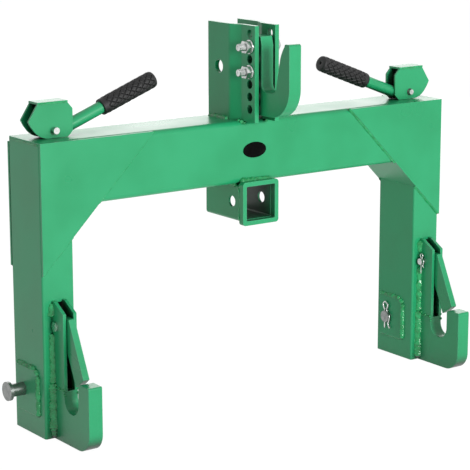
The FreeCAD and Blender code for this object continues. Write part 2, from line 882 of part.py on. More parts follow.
def lower_link_pin():
    radius = link_pin_diameter / 2
    head_face = leg_outer + pad_thickness + link_pin_stub
    y, z = link_pin_back, link_pin_height
    tip = link_pin_tip()
    shank = along_x(radius, tip, head_face, y, z)
    head = along_x(link_pin_head / 2, head_face, head_face + link_pin_head_height, y, z)
    clip_x = tip + link_pin_end / 2
    return shank.fuse(head).cut(clip_hole(radius, link_clip_wire, clip_x, y, z))


def write_frame():
    save("cross_beam", cross_beam())
    save_pair("leg", leg())
    save_pair("leg_cap", leg_cap())
    save_pair("front_gusset", gusset(-gusset_plate, 0, frame_height))
    rear_top = frame_height - beam_corner
    save_pair("rear_gusset", gusset(tube_depth, tube_depth + gusset_plate, rear_top))
    save_pair("corner_closing_plate", corner_closing_plate())
    save("receiver_tube", receiver_tube())
    save("receiver_collar", receiver_collar())


def write_mast():
    plate = mast_side_plate()
    save("right_mast_plate", plate)
    save("left_mast_plate", mirrored(plate))
    save("top_hook", top_hook())
    bolts, nuts = hook_fasteners()
    save("top_hook_bolts", Part.makeCompound(bolts))
    save("top_hook_nuts", Part.makeCompound(nuts))


def write_latches():
    save_pair("lower_hook", lower_hook())
    half = lower_hook_thickness / 2
    save_pair("inner_latch_ear", latch_ear(leg_centre - half, leg_centre - half + ear_plate))
    save_pair("outer_latch_ear", latch_ear(leg_centre + half - ear_plate, leg_centre + half))
    save_pair("latch", latch())
    save_pair("latch_pin", latch_pivot_pin())
    clip_x = latch_pin_tip() + latch_pin_end / 2
    save_pair("latch_pin_clip", spring_clip(latch_clip_wire, latch_pin_diameter / 2, clip_x,
                                            -latch_pivot_reach, latch_pivot_height))


def write_levers():
    save_pair("lever_side_plates", Part.makeCompound(cam_side_plates()))
    save_pair("lever_top_plate", cam_top_cover())
    save_pair("lever_tube", lever_tube())
    save_pair("lever_grip", grip())
    save("right_lever_pin", lever_pin(False))
    save("left_lever_pin", mirrored(lever_pin(True)))
    save_pair("pull_rod", pull_rod())
    save_pair("return_spring", return_spring())


def write_link_pins():
    save_pair("link_pin_pads", Part.makeCompound(link_pin_pads()))
    save_pair("lower_link_pin", lower_link_pin())
    clip_x = link_pin_tip() + link_pin_end / 2
    save_pair("link_pin_clip", spring_clip(link_clip_wire, link_pin_diameter / 2, clip_x,
                                           link_pin_back, link_pin_height))


def main():
    os.makedirs("parts", exist_ok=True)
    write_frame()
    write_mast()
    write_latches()
    write_levers()
    write_link_pins()
    print("front face of the tubes at y = %.3f" % front_face_y)
    print("rod lift %.3f, rod line %.3f, tail reach %.3f" % (rod_lift, rod_line, tail_reach))


main()
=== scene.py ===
import json
import logging
import math
from dataclasses import dataclass, field
from enum import Enum
from typing import Callable, Optional, Sequence

import bmesh
import bpy
from mathutils import Matrix, Vector
from mathutils.noise import noise


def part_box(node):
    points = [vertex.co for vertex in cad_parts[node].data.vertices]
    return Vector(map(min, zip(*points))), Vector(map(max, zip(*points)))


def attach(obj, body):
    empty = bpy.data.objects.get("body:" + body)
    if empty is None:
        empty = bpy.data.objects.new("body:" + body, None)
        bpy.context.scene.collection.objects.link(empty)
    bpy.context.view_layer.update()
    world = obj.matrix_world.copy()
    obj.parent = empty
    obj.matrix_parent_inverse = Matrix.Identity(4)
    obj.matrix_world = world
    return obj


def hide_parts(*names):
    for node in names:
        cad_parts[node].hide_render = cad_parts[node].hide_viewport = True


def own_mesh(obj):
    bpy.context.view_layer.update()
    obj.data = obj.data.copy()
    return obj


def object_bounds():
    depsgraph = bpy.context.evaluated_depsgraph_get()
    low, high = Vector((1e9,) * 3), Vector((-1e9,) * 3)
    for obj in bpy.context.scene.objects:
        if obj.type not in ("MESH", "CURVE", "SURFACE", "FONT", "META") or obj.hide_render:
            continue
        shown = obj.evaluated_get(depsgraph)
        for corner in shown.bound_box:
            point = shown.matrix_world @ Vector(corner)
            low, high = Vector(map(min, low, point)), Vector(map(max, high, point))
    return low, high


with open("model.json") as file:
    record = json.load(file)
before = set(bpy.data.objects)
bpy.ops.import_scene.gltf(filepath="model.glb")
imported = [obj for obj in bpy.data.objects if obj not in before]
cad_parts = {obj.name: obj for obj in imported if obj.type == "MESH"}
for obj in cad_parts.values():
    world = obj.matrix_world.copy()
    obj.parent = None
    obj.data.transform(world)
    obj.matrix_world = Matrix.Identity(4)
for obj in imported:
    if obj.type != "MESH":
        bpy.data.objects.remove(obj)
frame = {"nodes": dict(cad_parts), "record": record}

Tree, Socket, Material = bpy.types.NodeTree, bpy.types.NodeSocket, bpy.types.Material
log = logging.getLogger("quick_hitch")
CAD_LOW, CAD_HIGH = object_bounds()
MM = 0.001
UP, DOWN = Vector((0, 0, 1)), Vector((0, 0, -1))
AHEAD, BACK = Vector((0, -1, 0)), Vector((0, 1, 0))


class Side(Enum):
    """The two sides of the hitch; the value is the sign of X."""

    RIGHT = 1
    LEFT = -1

    @property
    def word(self) -> str:
        """The prefix that this side's nodes carry."""
        return self.name.lower()


class BeadStyle(Enum):
    """How wide and how rippled a weld bead is: (leg in mm, ripple depth as a share)."""

    FULL = (7.8, 0.15)
    PLAIN = (5.0, 0.22)
    EAR = (6.2, 0.15)
    FLUSH = (2.5, 0.05)
    SEAM = (2.0, 0.16)


def linear(code: str, alpha: float = 1.0) -> tuple[float, float, float, float]:
    """Turn an sRGB hex colour into linear red, green, blue and alpha.

    Args:
        code: Colour such as "#1E8F4E".
        alpha: Opacity.

    Returns:
        The linear colour.
    """
    channels = [int(code[i:i + 2], 16) / 255 for i in (1, 3, 5)]
    bent = [c / 12.92 if c <= 0.04045 else ((c + 0.055) / 1.055) ** 2.4 for c in channels]
    return (*bent, alpha)


def add_node(tree: Tree, kind: str, inputs: Optional[dict] = None,
             **settings: object) -> bpy.types.Node:
    """Add a shader node, set its properties and fill or link its inputs.

    Args:
        tree: The node tree that gets the node.
        kind: The node's type name.
        inputs: Values or output sockets by input name or index.
        **settings: Properties of the node itself.

    Returns:
        The new node.
    """
    made = tree.nodes.new(kind)
    for name, value in settings.items():
        setattr(made, name, value)
    for key, value in (inputs or {}).items():
        socket = made.inputs[key]
        if isinstance(value, Socket):
            tree.links.new(value, socket)
        else:
            socket.default_value = value
    return made


def ramp(tree: Tree, factor: Socket,
         stops: Sequence[tuple[float, tuple]]) -> Socket:
    """Add a colour ramp with the given stops and return its colour output.

    Args:
        tree: The node tree.
        factor: What the ramp reads.
        stops: Pairs of position and colour, in order.

    Returns:
        The colour socket.
    """
    made = add_node(tree, "ShaderNodeValToRGB", {"Fac": factor})
    band = made.color_ramp
    while len(band.elements) < len(stops):
        band.elements.new(1.0)
    for element, (position, colour) in zip(band.elements, stops):
        element.position = position
        element.color = colour
    return made.outputs["Color"]


def new_material(name: str) -> tuple[Material, Tree]:
    """Start a material with an empty node tree."""
    material = bpy.data.materials.new(name)
    material.use_nodes = True
    material.node_tree.nodes.clear()
    return material, material.node_tree


def place(tree: Tree) -> Socket:
    """The point on the object in metres, which rides with each body."""
    return add_node(tree, "ShaderNodeTexCoord").outputs["Object"]


def per_metre(millimetres: float) -> float:
    """The texture scale whose pattern repeats in about this many millimetres."""
    return 1000.0 / millimetres


def speckle(tree: Tree, millimetres: float, detail: float) -> Socket:
    """Noise on the object with patches of about this many millimetres."""
    return add_node(tree, "ShaderNodeTexNoise", {
        "Vector": place(tree), "Scale": per_metre(millimetres),
        "Detail": detail}).outputs["Fac"]


def spread(tree: Tree, value: Socket, low: float, high: float,
           start: float = 0.3, end: float = 0.7) -> Socket:
    """Map a value that runs from start to end onto low to high."""
    return add_node(tree, "ShaderNodeMapRange", {
        "Value": value, "From Min": start, "From Max": end,
        "To Min": low, "To Max": high}).outputs["Result"]


def dents(tree: Tree, height: Socket,
          strength: float | Socket, depth_mm: float,
          **normal: Socket) -> Socket:
    """The normal that a height of this depth disturbs."""
    return add_node(tree, "ShaderNodeBump", {
        "Height": height, "Strength": strength, "Distance": depth_mm * MM,
        **normal}).outputs["Normal"]


def surface(tree: Tree, colour: Socket,
            rough: Socket, normal: Socket,
            **constants: float) -> None:
    """Finish a material with its shader; constants go on the shader's own sockets."""
    shader = add_node(tree, "ShaderNodeBsdfPrincipled", {
        "Base Color": colour, "Roughness": rough, "Normal": normal, **constants})
    add_node(tree, "ShaderNodeOutputMaterial", {"Surface": shader.outputs[0]})


def seen_share(tree: Tree) -> Socket:
    """1 for rays from the lens, from gloss and through glass, and 0 for all others."""
    path = add_node(tree, "ShaderNodeLightPath")
    seen = path.outputs["Is Camera Ray"]
    for kind in ("Is Glossy Ray", "Is Transmission Ray"):
        seen = add_node(tree, "ShaderNodeMath", {0: seen, 1: path.outputs[kind]},
                        operation="MAXIMUM").outputs[0]
    return seen


def round_angles(count: int) -> list[float]:
    """Equal angles all the way round, in radians."""
    return [2 * math.pi * k / count for k in range(count)]


@dataclass(frozen=True)
class Enamel:
    """Green alkyd enamel sprayed over mild steel.

    The thick wet film levels to a soft gloss with a faint orange peel, so flat faces look
    even. A pale colour is painted along sharp edges as a highlight, and a near black colour
    is painted into deep narrow gaps as shade. Over flame cut faces the cutting ripples
    show through it, drawn coarser than the real 1 mm so that they can be seen.
    """

    name: str = "semi gloss green sprayed enamel on rolled steel"
    body: str = "#26A26B"
    deep: str = "#209A63"
    # painted highlight: pale colour laid along sharp edges
    edge_highlight: str = "#7FDDB0"
    # painted shade: near black recess colour, how far its occlusion looks and where it fades out
    recess_shade: str = "#04180A"
    shade_reach_mm: float = 60.0
    shade_gone_at: float = 0.50
    roughness: float = 0.30
    ior: float = 1.45
    peel_mm: float = 5.0
    peel: float = 0.05
    mottle_mm: float = 90.0
    edge_mm: float = 0.9
    cut_ripple_mm: float = 2.4
    cut_ripple: float = 0.0

    def cutting_marks(self, tree: Tree, normal: Socket) -> Socket:
        """Ripples through the plate on the faces that the flame cut.

        Args:
            tree: The node tree.
            normal: The normal that the ripples disturb.

        Returns:
            The disturbed normal.
        """
        coordinates = add_node(tree, "ShaderNodeTexCoord")
        flat = add_node(tree, "ShaderNodeVectorMath", {
            0: coordinates.outputs["Object"], 1: (0.02, 1.0, 1.0)}, operation="MULTIPLY")
        lines = add_node(tree, "ShaderNodeTexNoise", {
            "Vector": flat.outputs[0], "Scale": per_metre(self.cut_ripple_mm), "Detail": 2.0})
        facing = add_node(tree, "ShaderNodeSeparateXYZ", {0: coordinates.outputs["Normal"]})
        side = add_node(tree, "ShaderNodeMath", {0: facing.outputs["X"]}, operation="ABSOLUTE")
        share = spread(tree, side.outputs[0], self.cut_ripple, 0.0)
        return dents(tree, lines.outputs["Fac"], share, 0.5, Normal=normal)

    def material(self) -> Material:
        """Build the paint's shader."""
        material, tree = new_material(self.name)
        mottle = speckle(tree, self.mottle_mm, 2.0)
        tone = ramp(tree, mottle, [(0.35, linear(self.deep)), (0.6, linear(self.body))])
        rounded = add_node(tree, "ShaderNodeBevel", {"Radius": self.edge_mm * MM}, samples=4)
        flat = add_node(tree, "ShaderNodeNewGeometry").outputs["Normal"]
        turn = add_node(tree, "ShaderNodeVectorMath", {0: rounded.outputs[0], 1: flat},
                        operation="DOT_PRODUCT").outputs["Value"]
        # painted highlight: pale colour mixed in where the rounded normal leaves the flat one
        edge = spread(tree, turn, 0.0, 0.5, 0.97, 0.80)
        with_edge_highlight = add_node(tree, "ShaderNodeMix", {
            "Factor": edge, 6: tone, 7: linear(self.edge_highlight)}, data_type="RGBA").outputs[2]
        # painted shade: near black colour mixed in where occlusion finds other surfaces close by
        open_sky = add_node(tree, "ShaderNodeAmbientOcclusion", {
            "Distance": self.shade_reach_mm * MM}, samples=6).outputs["AO"]
        recess_shade_share = spread(tree, open_sky, 1.0, 0.0, 0.20, self.shade_gone_at)
        colour = add_node(tree, "ShaderNodeMix", {
            "Factor": recess_shade_share, 6: with_edge_highlight, 7: linear(self.recess_shade)}, data_type="RGBA").outputs[2]
        rough = spread(tree, mottle, self.roughness - 0.03, self.roughness + 0.05)
        normal = rounded.outputs[0]
        if self.cut_ripple > 0:
            normal = self.cutting_marks(tree, normal)
        bump = dents(tree, speckle(tree, self.peel_mm, 1.5), self.peel, 0.3, Normal=normal)
        surface(tree, colour, rough, bump, IOR=self.ior)
        return material


@dataclass(frozen=True)
class ZincPlate:
    """Steel electroplated with zinc and bright passivated.

    The plating is a cool silver, clouded where the bath ran, with painted shade where it
    turns away from the view, and fine drawn lines left from the bar underneath.
    """

    name: str = "bright zinc plated steel"
    body: str = "#F0F2F0"
    cloud: str = "#C2C6C4"
    # painted shade colour for where the plating turns away from the view
    turned: str = "#6A6E6C"
    roughness: float = 0.20
    cloud_mm: float = 6.0
    scratch_mm: float = 0.8

    def material(self) -> Material:
        """Build the plating's shader."""
        material, tree = new_material(self.name)
        cloud = speckle(tree, self.cloud_mm, 4.0)
        silver = ramp(tree, cloud, [(0.35, linear(self.cloud)), (0.65, linear(self.body))])
        # painted shade: the colour darkens towards faces seen edge on
        away = add_node(tree, "ShaderNodeLayerWeight", {"Blend": 0.35}).outputs["Facing"]
        colour = add_node(tree, "ShaderNodeMix", {
            "Factor": away, 6: silver, 7: linear(self.turned)}, data_type="RGBA").outputs[2]
        rough = spread(tree, cloud, self.roughness + 0.12, self.roughness - 0.06)
        bump = dents(tree, speckle(tree, self.scratch_mm, 2.0), 0.25, 0.08)
        surface(tree, colour, rough, bump, Metallic=1.0)
        return material


@dataclass(frozen=True)
class DrawnSteel:
    """Bare cold drawn or sprung steel with a film of oil, in brown grey patches."""

    name: str
    body: str
    stain: str
    roughness: float
    stain_mm: float = 12.0

    def material(self) -> Material:
        """Build the steel's shader."""
        material, tree = new_material(self.name)
        patch = speckle(tree, self.stain_mm, 6.0)
        colour = ramp(tree, patch, [(0.4, linear(self.stain)), (0.6, linear(self.body))])
        rough = spread(tree, patch, self.roughness + 0.15, self.roughness)
        surface(tree, colour, rough, dents(tree, patch, 0.15, 0.1), Metallic=1.0)
        return material


@dataclass(frozen=True)
class MouldedRubber:
    """Black nitrile rubber, dip moulded: satin, pitted, greyer on its high spots."""

    name: str = "black moulded rubber"
    body: str = "#0E0E0F"
    worn: str = "#262627"
    roughness: float = 0.5
    pit_mm: float = 1.2
    ior: float = 1.45

    def material(self) -> Material:
        """Build the rubber's shader."""
        material, tree = new_material(self.name)
        pits = speckle(tree, self.pit_mm, 3.0)
        colour = ramp(tree, pits, [(0.4, linear(self.body)), (0.72, linear(self.worn))])
        rough = spread(tree, pits, self.roughness - 0.08, self.roughness + 0.12)
        surface(tree, colour, rough, dents(tree, pits, 0.4, 0.3), IOR=self.ior)
        return material


@dataclass(frozen=True)
class BadgeLacquer:
    """Black lacquer screen printed on a thin plastic badge, left bare.

    Its index is below a real lacquer's, so that it stays black in a white room.
    """

    name: str = "black gloss lacquered badge plastic"
    body: str = "#050505"
    haze: str = "#0B0C0C"
    roughness: float = 0.45
    ior: float = 1.1
    haze_mm: float = 4.0

    def material(self) -> Material:
        """Build the lacquer's shader."""
        material, tree = new_material(self.name)
        haze = speckle(tree, self.haze_mm, 3.0)
        colour = ramp(tree, haze, [(0.4, linear(self.body)), (0.7, linear(self.haze))])
        rough = spread(tree, haze, self.roughness - 0.05, self.roughness + 0.08, 0.0, 1.0)
        surface(tree, colour, rough, dents(tree, haze, 0.05, 0.05), IOR=self.ior)
        return material


@dataclass
class Paintshop:
    """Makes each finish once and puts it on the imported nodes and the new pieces."""

    enamel: Enamel = Enamel()
    # painted light on flame cut plate: a wider painted edge highlight and a farther reaching,
    # deeper painted recess shade
    cut_plate: Enamel = Enamel(name="semi gloss green sprayed enamel on flame cut plate",
                               edge_mm=2.0, cut_ripple=0.55, shade_reach_mm=90.0,
                               shade_gone_at=0.62)
    weld: Enamel = Enamel(name="gloss green sprayed enamel over weld metal", body="#24AA66",
                          deep="#188F4E", roughness=0.20, ior=1.5, peel_mm=2.6, peel=0.4,
                          mottle_mm=9.0)
    # painted light on the receiver: a wider painted edge highlight and a farther reaching painted
    # recess shade
    receiver: Enamel = Enamel(name="semi gloss green sprayed enamel on drawn square tube",
                              edge_mm=1.8, shade_reach_mm=120.0)
    zinc: ZincPlate = ZincPlate()
    pin_plate: ZincPlate = ZincPlate("dulled zinc plated steel", "#A6A8A6", "#8E9290", "#5C5F5E",
                                     0.28)
    bar: DrawnSteel = DrawnSteel("oiled cold drawn steel bar", "#8D8C89", "#6B6258", 0.34)
    spring: DrawnSteel = DrawnSteel("oil tempered spring wire", "#5A5957", "#3D3833", 0.38)
    rubber: MouldedRubber = MouldedRubber()
    lacquer: BadgeLacquer = BadgeLacquer()
    made: dict[str, Material] = field(default_factory=dict)

    def finish_for(self, slot: str, finish: Optional[Enamel | ZincPlate] = None) -> Material:
        """The material of one slot of the record, made on first use.

        Args:
            slot: The record's material slot, or "badge".
            finish: A paint or plating to use in place of the slot's plain one.

        Returns:
            The Blender material.
        """
        finishes = {"frame_paint": self.enamel, "moving_part_paint": self.enamel,
                    "zinc_plate": self.zinc, "bare_steel": self.bar,
                    "spring_steel": self.spring, "grip_rubber": self.rubber,
                    "badge": self.lacquer}
        chosen = finish or finishes[slot]
        if chosen.name not in self.made:
            self.made[chosen.name] = chosen.material()
        return self.made[chosen.name]

    def dress_nodes(self) -> None:
        """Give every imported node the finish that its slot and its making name."""
        slots = {part["node"]: part["material_slot"] for part in frame["record"]["subparts"]}
        for name, node in frame["nodes"].items():
            finish = None
            if name.endswith(("_hook", "_latch")):
                finish = self.cut_plate
            elif name.startswith("receiver_"):
                finish = self.receiver
            elif name.endswith("_lower_link_pin"):
                finish = self.pin_plate
            node.data.materials.clear()
            node.data.materials.append(self.finish_for(slots[name], finish))
            log.info("%s wears %s", name, node.data.materials[0].name)


@dataclass
class Bench:
    """Turns vertices and faces into pieces that ride on the hitch's bodies."""

    paintshop: Paintshop

    def fit(self, name: str, points: Sequence[Vector], faces: Sequence[Sequence[int]],
            body: str, slot: str, sharp: float = 40.0, finish: Optional[Enamel] = None
            ) -> bpy.types.Object:
        """Make a mesh piece, smooth it by angle, paint it and hang it on its body.

        Args:
            name: The piece's name.
            points: Its vertices in metres, in the hitch's frame.
            faces: Its faces as vertex numbers.
            body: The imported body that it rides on.
            slot: The record's slot that its finish comes from, or "badge".
            sharp: Edges that turn by more degrees than this stay sharp.
            finish: A paint to use in place of the slot's plain one.

        Returns:
            The new object.
        """
        mesh = bpy.data.meshes.new(name)
        mesh.from_pydata([tuple(p) for p in points], [], [tuple(f) for f in faces])
        work = bmesh.new()
        work.from_mesh(mesh)
        bmesh.ops.recalc_face_normals(work, faces=work.faces)
        for edge in work.edges:
            turned = len(edge.link_faces) == 2 and edge.calc_face_angle(0.0) > math.radians(sharp)
            edge.smooth = not turned
        for face in work.faces:
            face.smooth = True
        work.to_mesh(mesh)
        work.free()
        piece = bpy.data.objects.new(name, mesh)
        bpy.context.scene.collection.objects.link(piece)
        mesh.materials.append(self.paintshop.finish_for(slot, finish))
        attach(piece, body)
        log.info("%s: %d faces on %s", name, len(faces), body)
        return piece


def loft(rings: Sequence[Sequence[Vector]], closed: bool = False
         ) -> tuple[list[Vector], list[tuple[int, ...]]]:
    """Skin a run of equal rings, with caps unless the run closes on itself.

    Args:
        rings: Rings of points, all with the same count.
        closed: True when the last ring joins the first.

    Returns:
        The vertices and the faces.
    """
    count = len(rings[0])
    points = [p for ring in rings for p in ring]
    faces: list[tuple[int, ...]] = []
    spans = len(rings) if closed else len(rings) - 1
    for i in range(spans):
        j = (i + 1) % len(rings)
        for k in range(count):
            m = (k + 1) % count
            faces.append((i * count + k, i * count + m, j * count + m, j * count + k))
    if not closed:
        faces.append(tuple(range(count)))
        faces.append(tuple((len(rings) - 1) * count + k for k in range(count)))
    return points, faces


def frame_along(direction: Vector) -> tuple[Vector, Vector]:
    """Two unit vectors square to a direction and to each other."""
    helper = Vector((0, 0, 1)) if abs(direction.z) < 0.9 else Vector((1, 0, 0))
    across = direction.cross(helper).normalized()
    return across, direction.cross(across).normalized()


@dataclass
class WeldBeads:
    """The fillet welds of the frame, laid by hand in short overlapping ripples."""

    bench: Bench
    ripple_mm: float = 4.2
    steps_per_ripple: int = 5
    arc_points: int = 7
    crown: float = 0.26
    sink_mm: float = 0.2
    wander: float = 0.36
    stray: float = 0.9
    unevenness: float = 0.16
    corner_cut_mm: float = 7.0
    lump_rings: int = 8
    lump_points: int = 14
    gusset_lump_mm: float = 2.2
    # ahead of the leg, above the ear's foot, radius
    hook_lumps_mm: tuple = ((7.0, 4.0, 2.6), (17.0, 2.0, 2.0), (28.0, 1.5, 2.4),
                            (30.0, -5.0, 1.8))
    # outward, back from the beam's face, below its top, radius
    mast_lumps_mm: tuple = ((1.5, 2.0, 1.0, 3.2), (-2.0, 0.5, 3.0, 2.4), (3.5, 6.0, 0.0, 2.8))
    mast_joggle_mm: float = 8.5

    def lay(self, name: str, start: Sequence[float], end: Sequence[float], to_one: Vector,
            to_other: Vector, style: BeadStyle, body: str = "frame") -> None:
        """Lay one straight bead in an inside corner of the frame.

        Args:
            name: The bead's name.
            start: Where the corner starts, in metres.
            end: Where it ends.
            to_one: Unit direction from the corner along the first surface.
            to_other: Unit direction from the corner along the second surface.
            style: How large and how rippled it is.
            body: The body that it rides on.
        """
        leg, depth = style.value
        start = Vector(start)
        run = Vector(end) - start
        ripples = run.length / (self.ripple_mm * MM)
        count = max(8, int(ripples * self.steps_per_ripple))
        seed = start * 37.0
        rings = []
        for i in range(count + 1):
            share = i / count
            phase = share * ripples
            wander = 1.0 + self.wander * noise(seed + Vector((phase * 0.4, 0, 0)))
            phase += self.stray * noise(seed + Vector((phase * 0.5, 5.0, 0)))
            taper = min(1.0, 0.5 + min(share, 1.0 - share) * run.length / (leg * MM))
            size = leg * MM * wander * taper
            middle = start + run * share
            ring = [middle - (to_one + to_other) * self.sink_mm * MM]
            for k in range(self.arc_points):
                angle = math.pi / 2 * k / (self.arc_points - 1)
                bulge = math.sin(2 * angle)
                scallop = 1.0 - depth * ((phase - 0.5 * bulge) % 1.0) ** 1.6
                lumpy = noise(seed + Vector((phase * 1.3, angle * 2.0, 9.0)))
                rough = 1.0 + self.unevenness * lumpy
                reach = size * (1.0 + self.crown * bulge) * scallop * rough
                reach /= math.cos(angle) + math.sin(angle)
                ring.append(middle + to_one * reach * math.cos(angle)
                            + to_other * reach * math.sin(angle))
            rings.append(ring)
        points, faces = loft(rings)
        self.bench.fit(name, points, faces, body, "frame_paint", 60.0,
                       self.bench.paintshop.weld)

    def lump(self, name: str, centre: Sequence[float], radius_mm: float) -> None:
        """Leave a lump of weld metal, such as a bead's end or a spatter ball.

        Args:
            name: The lump's name.
            centre: Its middle, in metres.
            radius_mm: Its size.
        """
        centre = Vector(centre)
        rings = []
        for i in range(1, self.lump_rings + 1):
            polar = math.pi * i / (self.lump_rings + 1)
            ring = []
            for turn in round_angles(self.lump_points):
                way = Vector((math.sin(polar) * math.cos(turn),
                              math.sin(polar) * math.sin(turn), math.cos(polar)))
                swell = 1.0 + 0.35 * noise(centre * 91.0 + way * 1.3)
                ring.append(centre + way * radius_mm * MM * swell)
            rings.append(ring)
        points, faces = loft(rings)
        self.bench.fit(name, points, faces, "frame", "frame_paint", 80.0,
                       self.bench.paintshop.weld)

    def gussets(self, side: Side) -> None:
        """Weld the slanted edges of the gussets to the beam and the leg."""
        sign = side.value
        beam_low, beam_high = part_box("cross_beam")
        slant = Vector((-sign, 0, -1)).normalized()
        for word, out in (("front", AHEAD), ("rear", BACK)):
            stem = f"{side.word}_{word}_gusset"
            low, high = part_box(stem)
            plane = high.y if out is AHEAD else low.y
            inner, outer = (low.x, high.x) if sign > 0 else (high.x, low.x)
            diagonal = abs(inner) + high.z
            self.lay(f"{stem}_beam_weld", (inner, plane, high.z),
                     (sign * (diagonal - beam_low.z), plane, beam_low.z), slant, out,
                     BeadStyle.FLUSH)
            self.lay(f"{stem}_leg_weld", (sign * beam_high.x, plane, diagonal - beam_high.x),
                     (outer, plane, low.z), slant, out, BeadStyle.FLUSH)
            self.lump(f"{stem}_top_lump", (inner, plane + out.y * MM, high.z - MM),
                      self.gusset_lump_mm)
        stem = f"{side.word}_rear_gusset"
        low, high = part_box(stem)
        self.lay(f"{stem}_top_weld", (low.x + 3 * MM, low.y, high.z),
                 (high.x - 3 * MM, low.y, high.z), UP, BACK, BeadStyle.FLUSH)

    def hooks(self, side: Side) -> None:
        """Weld the lower hook and its ears to the front of the leg."""
        hook_low, hook_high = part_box(f"{side.word}_lower_hook")
        ear_low, ear_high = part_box(f"{side.word}_inner_latch_ear")
        pin_low, pin_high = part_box(f"{side.word}_latch_pin")
        face = hook_high.y
        beads = (("leg", hook_low.z + 2 * MM, ear_low.z + 6 * MM, BeadStyle.FULL),
                 ("ear", ear_low.z + 4 * MM, pin_low.z - 5 * MM, BeadStyle.EAR),
                 ("ear_top", pin_high.z + 5 * MM, ear_high.z - 3 * MM, BeadStyle.EAR))
        for word, x, out in (("low_x", hook_low.x, -1), ("high_x", hook_high.x, 1)):
            away = Vector((out, 0, 0))
            stem = f"{side.word}_hook_{word}"
            for part, foot, top, style in beads:
                self.lay(f"{stem}_{part}_weld", (x, face, foot), (x, face, top), away, AHEAD,
                         style)
            self.lay(f"{stem}_ear_foot_weld", (x, face - 5 * MM, ear_low.z),
                     (x, ear_low.y + 1 * MM, ear_low.z), UP, away, BeadStyle.SEAM)
            for turn, (ahead_mm, lift_mm, size) in enumerate(self.hook_lumps_mm):
                self.lump(f"{stem}_lump_{turn}",
                          (x, face - ahead_mm * MM, ear_low.z + lift_mm * MM), size)

    def mast(self, side: Side) -> None:
        """Weld the foot of a mast plate to the top of the beam."""
        sign = side.value
        low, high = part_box(f"{side.word}_mast_plate")
        beam_low, beam_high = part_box("cross_beam")
        outer = high.x if sign > 0 else low.x
        base = beam_high.z
        away = Vector((sign, 0, 0))
        front_outer = outer - sign * self.mast_joggle_mm * MM
        self.lay(f"{side.word}_mast_rear_foot_weld", (outer, low.y + 56 * MM, base),
                 (outer, high.y - 2 * MM, base), away, UP, BeadStyle.PLAIN)
        self.lay(f"{side.word}_mast_front_foot_weld", (front_outer, beam_low.y + 3 * MM, base),
                 (front_outer, low.y + 33 * MM, base), away, UP, BeadStyle.PLAIN)
        for turn, (across_mm, back_mm, drop_mm, size) in enumerate(self.mast_lumps_mm):
            self.lump(f"{side.word}_mast_lump_{turn}",
                      (front_outer + sign * across_mm * MM, beam_low.y + back_mm * MM,
                       base - drop_mm * MM), size)

    def receiver(self) -> None:
        """Weld the receiver to the underside of the beam and its collar to both."""
        low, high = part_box("receiver_tube")
        ring_low, ring_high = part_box("receiver_collar")
        beam_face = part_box("cross_beam")[0].y
        joint = ring_high.y
        for word, x, out in (("left", low.x, -1), ("right", high.x, 1)):
            away = Vector((out, 0, 0))
            self.lay(f"receiver_{word}_weld", (x, beam_face + 6 * MM, high.z),
                     (x, high.y - 3 * MM, high.z), away, DOWN, BeadStyle.PLAIN)
            self.lay(f"collar_{word}_weld", (x, joint, ring_low.z + 6 * MM),
                     (x, joint, high.z - 4 * MM), away, BACK, BeadStyle.PLAIN)
        self.lay("collar_bottom_weld", (low.x + 5 * MM, joint, low.z),
                 (high.x - 5 * MM, joint, low.z), DOWN, BACK, BeadStyle.PLAIN)
        self.lay("collar_top_weld", (ring_low.x + 5 * MM, beam_face, ring_high.z - MM),
                 (ring_high.x - 5 * MM, beam_face, ring_high.z - MM), AHEAD, UP,
                 BeadStyle.PLAIN)

    def pads(self, side: Side) -> None:
        """Weld the edges of the pads round the lower link pin to the leg."""
        sign = side.value
        low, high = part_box(f"{side.word}_link_pin_pads")
        leg_low, leg_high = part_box(f"{side.word}_leg")
        slope = Vector((0, -1, 1)).normalized()
        cut = self.corner_cut_mm * MM
        for word, out, front in (("inner", -sign, low.y + 5 * MM), ("outer", sign, low.y)):
            x = leg_high.x if out > 0 else leg_low.x
            away = Vector((out, 0, 0))
            stem = f"{side.word}_{word}_pad"
            self.lay(f"{stem}_front_weld", (x, front, low.z), (x, front, high.z - cut), AHEAD,
                     away, BeadStyle.PLAIN)
            self.lay(f"{stem}_corner_weld", (x, front, high.z - cut),
                     (x, front + cut, high.z), slope, away, BeadStyle.PLAIN)
            self.lay(f"{stem}_top_weld", (x, front + cut, high.z), (x, high.y, high.z), UP,
                     away, BeadStyle.PLAIN)
            self.lay(f"{stem}_bottom_weld", (x, front, low.z), (x, high.y, low.z), DOWN, away,
                     BeadStyle.SEAM)

    def cap(self, side: Side) -> None:
        """Run a thin seam round the outer edge of the leg's cap."""
        low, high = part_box(f"{side.word}_leg_cap")
        x = high.x if side is Side.RIGHT else low.x
        self.lay(f"{side.word}_cap_weld", (x, low.y + 3 * MM, low.z),
                 (x, high.y - 3 * MM, low.z), Vector((side.value, 0, 0)), UP, BeadStyle.SEAM)

    def lever(self, side: Side) -> None:
        """Run the seams between the lever's top plate and its two side plates."""
        low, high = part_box(f"{side.word}_lever_top_plate")
        plates_low, plates_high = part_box(f"{side.word}_lever_side_plates")
        for word, y, out in (("front", plates_low.y, AHEAD), ("rear", plates_high.y, BACK)):
            self.lay(f"{side.word}_lever_{word}_seam", (low.x + 2 * MM, y, low.z),
                     (high.x - 2 * MM, y, low.z), out, UP, BeadStyle.SEAM,
                     f"{side.word}_lever")

    def build(self) -> None:
        """Lay every bead."""
        for side in Side:
            self.lever(side)
            self.gussets(side)
            self.hooks(side)
            self.mast(side)
            self.pads(side)
            self.cap(side)
        self.receiver()


